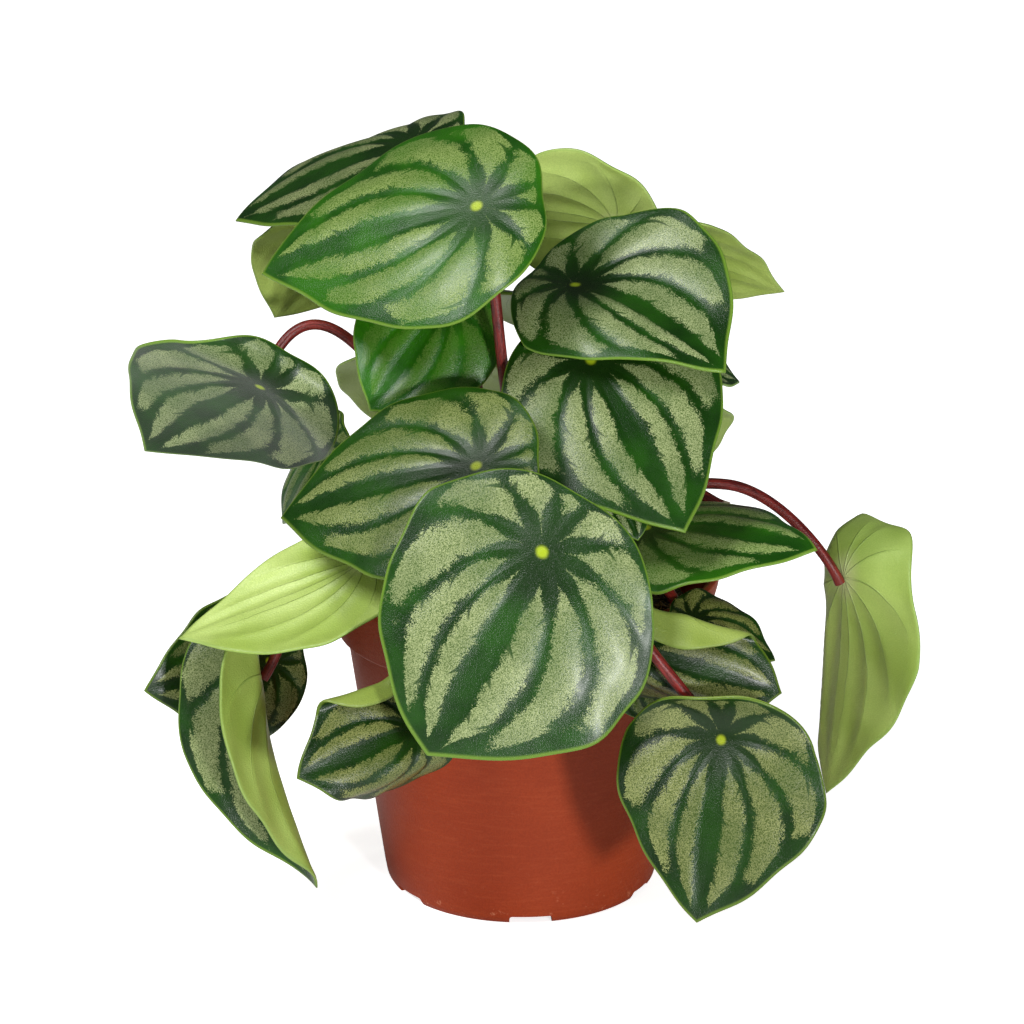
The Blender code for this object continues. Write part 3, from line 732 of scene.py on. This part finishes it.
def named(tree, name):
    """A number that the starting mesh holds at each of its points."""
    made = add_node(tree, "GeometryNodeInputNamedAttribute", {"Name": name}, data_type="FLOAT")
    return Value(tree, made.outputs["Attribute"])


def stored(tree, geometry, name, value):
    """The geometry with a number kept at each point, for its material to read."""
    feeds = {"Geometry": geometry, "Name": name, "Value": value}
    return add_node(tree, "GeometryNodeStoreNamedAttribute", feeds, data_type="FLOAT", domain="POINT")


def of_material(tree, geometry, material):
    return add_node(tree, "GeometryNodeSetMaterial", {"Geometry": geometry, "Material": material})


def welded(tree, geometry):
    """The geometry as one smooth surface, with points that meet joined."""
    merged = add_node(tree, "GeometryNodeMergeByDistance", {"Geometry": geometry, "Distance": WELD})
    return add_node(tree, "GeometryNodeSetShadeSmooth", {"Geometry": merged})


def blade_tree():
    """Gives the blade's middle sheet its thickness: two skins that meet in a rounded margin."""
    inputs = {"Thickness": BLADE_THICKNESS, "Margin Roll": MARGIN_ROLL, "Upper Skin": "Material",
              "Under Skin": "Material"}
    tree, given, result = shape_group("blade", inputs)
    capture = tree.nodes.new("GeometryNodeCaptureAttribute")
    capture.capture_items.new("VECTOR", "Outward")
    wire(tree, capture.inputs["Geometry"], given["Geometry"])
    wire(tree, capture.inputs["Outward"], tree.nodes.new("GeometryNodeInputNormal"))
    edge, relief = named(tree, "edge"), named(tree, "relief")
    rolled = (edge - 1.0) / given["Margin Roll"] + 1.0
    over = rolled.sum("MAXIMUM", 0.0)
    round_off = (over * over).less_from(1.0).sum("MAXIMUM", 0.0).sum("SQRT")
    half = round_off * given["Thickness"] * 0.5
    skins = []
    for side, label in ((1.0, "Upper Skin"), (-1.0, "Under Skin")):
        feeds = {0: capture.outputs["Outward"], "Scale": relief + half * side}
        feeds = {"Geometry": capture.outputs["Geometry"],
                 "Offset": add_node(tree, "ShaderNodeVectorMath", feeds, operation="SCALE")}
        moved = add_node(tree, "GeometryNodeSetPosition", feeds)
        if side < 0:
            moved = add_node(tree, "GeometryNodeFlipFaces", {"Mesh": moved})
        skins.append(of_material(tree, moved, given[label]))
    joined = tree.nodes.new("GeometryNodeJoinGeometry")
    for skin in reversed(skins):
        wire(tree, joined.inputs[0], skin)
    wire(tree, result, welded(tree, joined))
    return tree


def stalk_tree():
    """A round stalk along a line of points, thicker at the crown and where it meets a blade."""
    inputs = {"Foot Radius": STALK_RADIUS, "Taper": STALK_TAPER, "Foot Swelling": 0.35,
              "Head Swelling": 0.1, "Sides": STALK_SIDES, "Skin": "Material"}
    tree, given, result = shape_group("stalk", inputs)
    line = add_node(tree, "GeometryNodeMeshToCurve", {0: given["Geometry"]})
    spline = tree.nodes.new("GeometryNodeSplineParameter")
    share, length = Value(tree, spline.outputs["Factor"]), Value(tree, spline.outputs["Length"])
    tapered = share * (Value(tree, given["Taper"]) - 1.0) + 1.0
    foot = share.ramp(0.0, 0.08, 1.0, 0.0) * given["Foot Swelling"]
    head = share.ramp(0.95, 1.0) * given["Head Swelling"]
    radius = (tapered + foot + head) * given["Foot Radius"]
    line = stored(tree, stored(tree, line, "along", share), "length", length)
    feeds = {"Resolution": given["Sides"], "Radius": 1.0}
    ring = add_node(tree, "GeometryNodeCurvePrimitiveCircle", feeds)
    ring = stored(tree, ring, "around", tree.nodes.new("GeometryNodeSplineParameter").outputs["Factor"])
    feeds = {"Curve": line, "Profile Curve": ring, "Scale": radius, "Fill Caps": True}
    tube = add_node(tree, "GeometryNodeCurveToMesh", feeds)
    wire(tree, result, of_material(tree, welded(tree, tube), given["Skin"]))
    return tree


def crumb_tree():
    """Crumbs strewn over a surface: lumps of one shape, each turned and sized at random."""
    inputs = {"Crumbs Per Square Metre": 90000.0, "Smallest": 0.0005, "Largest": 0.0016, "Seed": 5,
              "Matter": "Material"}
    tree, given, result = shape_group("crumbs", inputs)
    density = given["Crumbs Per Square Metre"]
    feeds = {"Mesh": given["Geometry"], "Density": density, "Seed": given["Seed"]}
    spread = add_node(tree, "GeometryNodeDistributePointsOnFaces", feeds)
    lump = add_node(tree, "GeometryNodeMeshIcoSphere", {"Radius": 1.0, "Subdivisions": 2})
    where = tree.nodes.new("GeometryNodeInputPosition").outputs[0]
    bumps = add_node(tree, "ShaderNodeTexNoise", {"Vector": where, "Scale": 1.1}).outputs["Color"]
    middle = add_node(tree, "ShaderNodeVectorMath", {0: bumps, 1: (0.5, 0.5, 0.5)}, operation="SUBTRACT")
    pushed = add_node(tree, "ShaderNodeVectorMath", {0: middle, "Scale": 2.4}, operation="SCALE")
    shaped = add_node(tree, "GeometryNodeSetPosition", {"Geometry": lump, "Offset": pushed})
    feeds = {0: (0.0, 0.0, 0.0), 1: (6.28, 6.28, 6.28), "Seed": 1}
    turn = add_node(tree, "FunctionNodeRandomValue", feeds, data_type="FLOAT_VECTOR").outputs[0]
    feeds = {2: given["Smallest"], 3: given["Largest"], "Seed": 2}
    size = add_node(tree, "FunctionNodeRandomValue", feeds).outputs[1]
    feeds = {"Points": spread.outputs["Points"], "Instance": shaped, "Rotation": turn, "Scale": size}
    placed = add_node(tree, "GeometryNodeInstanceOnPoints", feeds)
    real = add_node(tree, "GeometryNodeRealizeInstances", {0: placed})
    wire(tree, result, of_material(tree, real, given["Matter"]))
    return tree


# ---- Leaf blades ----
def margin_rings():
    """Shares of the way from the navel to the margin, close together where the edge rounds over."""
    inner = np.linspace(0, 1 - MARGIN_ROLL, INNER_RINGS + 1)[1:]
    rolled = 1 - MARGIN_ROLL * (1 - np.sin(np.linspace(0, math.pi / 2, ROLLED_RINGS + 1)[1:]))
    return np.concatenate([inner, rolled])


def vein_places(x, y):
    """How far between two main veins, from 0 to 1, each place of the flat leaf lies."""
    swing = np.degrees(np.arctan2(np.abs(y), x) + np.arctan2(np.abs(y), VEINS_MEET - x))
    number = (swing - FIRST_VEIN) / VEIN_STEP + 1
    return np.where(number < 1, 0, 2 * np.abs(number - np.round(number)))


def smooth_step(value, low, high):
    share = np.clip((value - low) / (high - low), 0, 1)
    return share * share * (3 - 2 * share)


def waving(turn, number, waves):
    return sum(height * np.sin(count * turn + number * shift) for height, count, shift in waves)


def blade_relief(x, y, turn, share, number):
    """How far the skin stands out: puffed between the veins, and waving towards the margin."""
    puffed = np.sin(vein_places(x, y) * math.pi / 2) - 0.45
    puffed = puffed * smooth_step(np.hypot(x, y), 0.04, 0.22) * (1 - smooth_step(share, 0.8, 1))
    return PUFFING * puffed + RIPPLE * waving(turn, number, RIPPLES) * share**3


def grid_faces(rings):
    """Faces of a disc of rings round a centre point, which is the first point."""
    faces = []
    for i in range(SPOKES):
        j = (i + 1) % SPOKES
        faces.append((0, 1 + i, 1 + j))
        for ring in range(rings - 1):
            inner, outer = 1 + ring * SPOKES, 1 + (ring + 1) * SPOKES
            faces.append((inner + i, outer + i, outer + j, inner + j))
    return faces


def blade_sheet(name, leaf, shares, faces):
    """The blade's middle surface, with its flat map and the numbers that its skins read."""
    turns = np.linspace(-math.pi, math.pi, SPOKES, endpoint=False)
    turn, share = (grid.ravel() for grid in np.meshgrid(turns, shares))
    turn, share = np.append(0.0, turn), np.append(0.0, share)
    label = name[-2:]
    number = float(label)
    points = blade_points(leaf, turn, share * (1 + SCALLOP * waving(turn, number, SCALLOPS) * share**2))
    x, y = plain_outline(USUAL_WIDTH, leaf.widest, leaf.point, 1.0, turn)
    x, y = x * share, y * share
    mesh = bpy.data.meshes.new(name)
    mesh.from_pydata(points.tolist(), [], faces)
    corners = np.empty(len(mesh.loops), np.int32)
    mesh.loops.foreach_get("vertex_index", corners)
    flat = np.stack([x, y], axis=1)[corners]
    mesh.uv_layers.new(name="blade").data.foreach_set("uv", flat.ravel().astype(np.float32))
    point_values(mesh, "edge", share)
    point_values(mesh, "relief", blade_relief(x, y, turn, share, number))
    point_values(mesh, "youth", np.full(len(points), YOUTH.get(label, USUAL_YOUTH)))
    # How much painted shade the leaf gets, for its skins to read.
    point_values(mesh, "painted_shade", np.full(len(points), PAINTED_SHADE.get(label, 0.0)))
    return mesh


def make_blades(tree, upper, under):
    shares = margin_rings()
    faces = grid_faces(len(shares))
    for number, leaf in LEAVES.items():
        sheet = blade_sheet(f"blade_{number}", leaf, shares, faces)
        piece = grown(f"blade_{number}", sheet, tree, {"Upper Skin": upper, "Under Skin": under})
        stands_for(piece, f"leaf_{number}")


# ---- Stalks ----
def make_stalks(tree, skin, stub_skin):
    for number, leaf in LEAVES.items():
        points = stalk_points(leaf, STALK_PARTS)
        into_blade = points[-1] + unit(points[-1] - points[-2]) * (3 * GAP)
        line = line_mesh(f"stalk_{number}", [*points, into_blade])
        piece = grown(f"stalk_{number}", line, tree, {"Skin": skin})
        stands_for(piece, f"petiole_{number}")
    line = line_mesh("cut_stub", stub_points(STALK_PARTS // 2))
    piece = grown("cut_stub", line, tree, {"Skin": stub_skin, "Taper": 1.0, "Head Swelling": 0.15})
    stands_for(piece, "stub")


# ---- Pot, soil and crown ----
def filleted(profile, steps=4):
    """The profile with each inner corner rounded over, by less where its sides are short."""
    made = [profile[0]]
    for before, corner, after in zip(profile, profile[1:], profile[2:]):
        before, corner, after = (np.array(point) for point in (before, corner, after))
        shortest = min(np.linalg.norm(before - corner), np.linalg.norm(after - corner))
        reach = min(CORNER_RADIUS, shortest / 2.5)
        start, end = corner + unit(before - corner) * reach, corner + unit(after - corner) * reach
        for t in np.linspace(0, 1, steps + 1):
            made.append(tuple((1 - t) ** 2 * start + 2 * t * (1 - t) * corner + t * t * end))
    return made + [profile[-1]]


def turned(name, profile, sides):
    """What a profile makes when it is turned round Z."""
    made = plain_object(name, line_mesh(name, [(radius, 0, height) for radius, height in profile]))
    screw = made.modifiers.new("Turn", "SCREW")
    screw.steps = screw.render_steps = sides
    screw.use_merge_vertices = True
    screw.merge_threshold = AXIS_WELD
    return baked(made)


def finished(piece, material, node):
    piece.data.materials.append(material)
    piece.data.shade_smooth()
    stands_for(piece, node)


def cutter(name, build, place, turn=0.0):
    """A mesh to cut with, made by bmesh calls and then turned round Z and moved."""
    mesh = bpy.data.meshes.new(name)
    shape = bmesh.new()
    build(shape)
    shape.to_mesh(mesh)
    shape.free()
    made = plain_object(name, mesh)
    made.location = place
    made.rotation_euler = (0, 0, turn)
    return made


def notch(shape):
    """The block that cuts a foot notch, with the corners of its opening rounded."""
    bmesh.ops.create_cube(shape, size=1)
    bmesh.ops.scale(shape, vec=(NOTCH_DEPTH, NOTCH_WIDTH, 2 * NOTCH_RISE), verts=shape.verts)
    through = [edge for edge in shape.edges
               if abs(edge.verts[0].co.x - edge.verts[1].co.x) > NOTCH_DEPTH / 2]
    bmesh.ops.bevel(shape, geom=through, offset=NOTCH_CORNER, segments=4, affect="EDGES", profile=0.5)


def drain(shape):
    bmesh.ops.create_cone(shape, cap_ends=True, segments=32, radius1=HOLE_RADIUS, radius2=HOLE_RADIUS,
                          depth=0.006)


def pot_profile():
    outside = [
        (RIM_RADIUS - WALL, POT_HEIGHT),
        (RIM_RADIUS, POT_HEIGHT - 0.0004),
        (RIM_RADIUS - 0.0002, POT_HEIGHT - 0.003),
        (RIM_FOOT_RADIUS, RIM_BOTTOM),
        (BODY_TOP_RADIUS, BODY_TOP),
        (BODY_FOOT_RADIUS, BODY_FOOT),
        (FOOT_RADIUS + 0.001, 0.0016),
        (FOOT_RADIUS, 0),
        (GROOVE_OUTER + 0.0008, 0),
        (GROOVE_OUTER, GROOVE_RISE),
        (GROOVE_INNER, GROOVE_RISE),
        (PAD_RADIUS, 0),
        (0, 0),
    ]
    inside = [
        (0, WALL),
        (PAD_RADIUS - 0.0002, WALL),
        (PAD_RADIUS + 0.001, POT_FLOOR),
        (BODY_FOOT_RADIUS - WALL - 0.0003, POT_FLOOR),
        (BODY_TOP_RADIUS - WALL, BODY_TOP),
        (RIM_FOOT_RADIUS - WALL, RIM_BOTTOM + 0.001),
        (RIM_RADIUS - 2 * WALL, POT_HEIGHT - 0.0003),
        (RIM_RADIUS - WALL, POT_HEIGHT),
    ]
    return filleted(outside) + filleted(inside)


def make_pot(plastic):
    piece = turned("pot_shell", pot_profile(), POT_SIDES)
    groove_middle = (GROOVE_INNER + GROOVE_OUTER) / 2
    cutters = []
    for index in range(NOTCHES):
        turn = math.radians(-90 + NOTCH_TURN + 360 * index / NOTCHES)
        ahead = Vector((math.cos(turn), math.sin(turn), 0))
        cutters.append(cutter(f"notch_{index}", notch, ahead * (FOOT_RADIUS + 0.001), turn))
        place = ahead * groove_middle + Vector((0, 0, GROOVE_RISE))
        cutters.append(cutter(f"drain_{index}", drain, place))
    for tool in cutters:
        boolean = piece.modifiers.new(tool.name, "BOOLEAN")
        boolean.operation = "DIFFERENCE"
        boolean.solver = "EXACT"
        boolean.object = tool
    baked(piece)
    for tool in cutters:
        bpy.data.objects.remove(tool, do_unlink=True)
    finished(piece, plastic, "pot")
    piece.data.set_sharp_from_angle(angle=SHARP_EDGE)


def roughened(piece, height, per_metre, above):
    """Pushes the points above a level in and out along their normals by smooth noise."""
    for vertex in piece.data.vertices:
        if vertex.co.z > above:
            spot = vertex.co * per_metre
            push = noise.noise(spot) + 0.5 * noise.noise(spot * 2.3) + 0.3 * noise.noise(spot * 5.1)
            vertex.co += vertex.normal * push * height


def spread_out(profile, step):
    """The profile with points added so that none of its sides is longer than the step."""
    made = [profile[0]]
    for start, end in zip(profile, profile[1:]):
        start, end = np.array(start), np.array(end)
        parts = max(1, math.ceil(np.linalg.norm(end - start) / step))
        made.extend(tuple(start + (end - start) * i / parts) for i in range(1, parts + 1))
    return made


def strewn(name, profile, crumbs, values):
    """Crumbs over the surface that the profile makes when it is turned."""
    base = turned(name, profile, STREWN_SIDES)
    surface = base.data
    bpy.data.objects.remove(base, do_unlink=True)
    piece = grown(name, surface, crumbs, values)
    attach(piece, "root")


def make_soil(crumbs, peat, bark):
    floor = POT_FLOOR + GAP
    foot = BODY_FOOT_RADIUS - WALL - GAP - 0.0006
    lean = (BODY_TOP_RADIUS - BODY_FOOT_RADIUS) / (BODY_TOP - BODY_FOOT)
    shoulder = RIM_BOTTOM - 0.004
    shoulder_radius = foot + lean * (shoulder - floor)
    top = [
        (0, SOIL_TOP + SOIL_CROWNING),
        (CROWN_RADIUS * 1.3, SOIL_TOP + SOIL_CROWNING),
        (shoulder_radius * 0.8, SOIL_TOP + 0.0005),
        (shoulder_radius, SOIL_TOP - 0.001),
    ]
    sides = [(shoulder_radius, shoulder), (foot, floor), (0, floor)]
    piece = turned("soil_ball", spread_out(top, 0.0008) + sides, SOIL_SIDES)
    roughened(piece, 0.0006, 240, SOIL_TOP - 0.0005)
    finished(piece, peat, "soil")
    strewn("peat_crumbs", top, crumbs, {"Matter": peat})
    sizes = {"Crumbs Per Square Metre": 14000.0, "Seed": 9, "Smallest": 0.0008, "Largest": 0.0022}
    strewn("bark_chips", top, crumbs, sizes | {"Matter": bark})


def make_crown(skin):
    profile = [(CROWN_RADIUS * math.cos(turn), CROWN_BASE + CROWN_HEIGHT * math.sin(turn))
               for turn in np.linspace(math.pi / 2, 0, CROWN_RINGS)]
    piece = turned("crown_foot", profile + [(0, CROWN_BASE)], CROWN_SIDES)
    roughened(piece, 0.0007, 260, CROWN_BASE + 0.0003)
    finished(piece, skin, "crown")


# ---- Stage ----
def make_floor():
    half = FLOOR_SIDE / 2
    corners = [(-half, -half, 0), (half, -half, 0), (half, half, 0), (-half, half, 0)]
    mesh = bpy.data.meshes.new("floor")
    mesh.from_pydata(corners, [], [(0, 1, 2, 3)])
    mesh.materials.append(floor_paint())
    plain_object("floor", mesh)


def make_camera():
    data = bpy.data.cameras.new("camera")
    data.sensor_width = SENSOR
    data.lens = SENSOR * CAMERA_DISTANCE / VIEW_WIDTH
    data.clip_start = NEAREST_SEEN
    made = plain_object("camera", data)
    back = Vector((0, -math.cos(CAMERA_PITCH), math.sin(CAMERA_PITCH)))
    made.location = LOOK_AT + back * CAMERA_DISTANCE
    made.rotation_euler = (math.pi / 2 - CAMERA_PITCH, 0, 0)
    bpy.context.scene.camera = made


def soft_light(name, place, side, power):
    """A square white lamp that faces the plant."""
    data = bpy.data.lights.new(name, "AREA")
    data.size = side
    data.energy = power
    made = plain_object(name, data)
    made.location = place
    made.rotation_euler = (LOOK_AT - Vector(place)).to_track_quat("-Z", "Y").to_euler()


def make_lights():
    world = bpy.data.worlds.new("studio")
    world.use_nodes = True
    tree = world.node_tree
    path = tree.nodes.new("ShaderNodeLightPath")
    seen, mirrored = (Value(tree, path.outputs[kind]) for kind in ("Is Camera Ray", "Is Glossy Ray"))
    background = tree.nodes["Background"]
    background.inputs["Color"].default_value = WHITE
    strength = seen * STUDIO_GLOW - mirrored * STUDIO_DIMMING + STUDIO_LIGHT
    wire(tree, background.inputs["Strength"], strength)
    bpy.context.scene.world = world
    soft_light("key_light", place=(-0.75, -0.75, 1.25), side=0.45, power=19)
    soft_light("gloss_light", place=(0.5, -1.3, 0.22), side=0.13, power=13)
    bpy.context.scene.view_settings.view_transform = "Standard"


make_camera()
make_floor()
make_lights()
VEINS = vein_group()
GRAIN = grain_group()
make_blades(blade_tree(), upper_skin(VEINS, GRAIN), under_skin(VEINS, GRAIN))
make_stalks(stalk_tree(), stalk_skin("stalk_skin", GRAIN),
            stalk_skin("stub_skin", GRAIN, pale_end=linear(206, 190, 158)))
make_pot(pot_plastic(GRAIN))
make_soil(crumb_tree(), soil_matter("peat", GRAIN, linear(34, 24, 18), linear(72, 50, 36)),
          soil_matter("bark", GRAIN, linear(84, 58, 40), linear(132, 100, 72)))
make_crown(crown_skin("crown_bark", GRAIN))
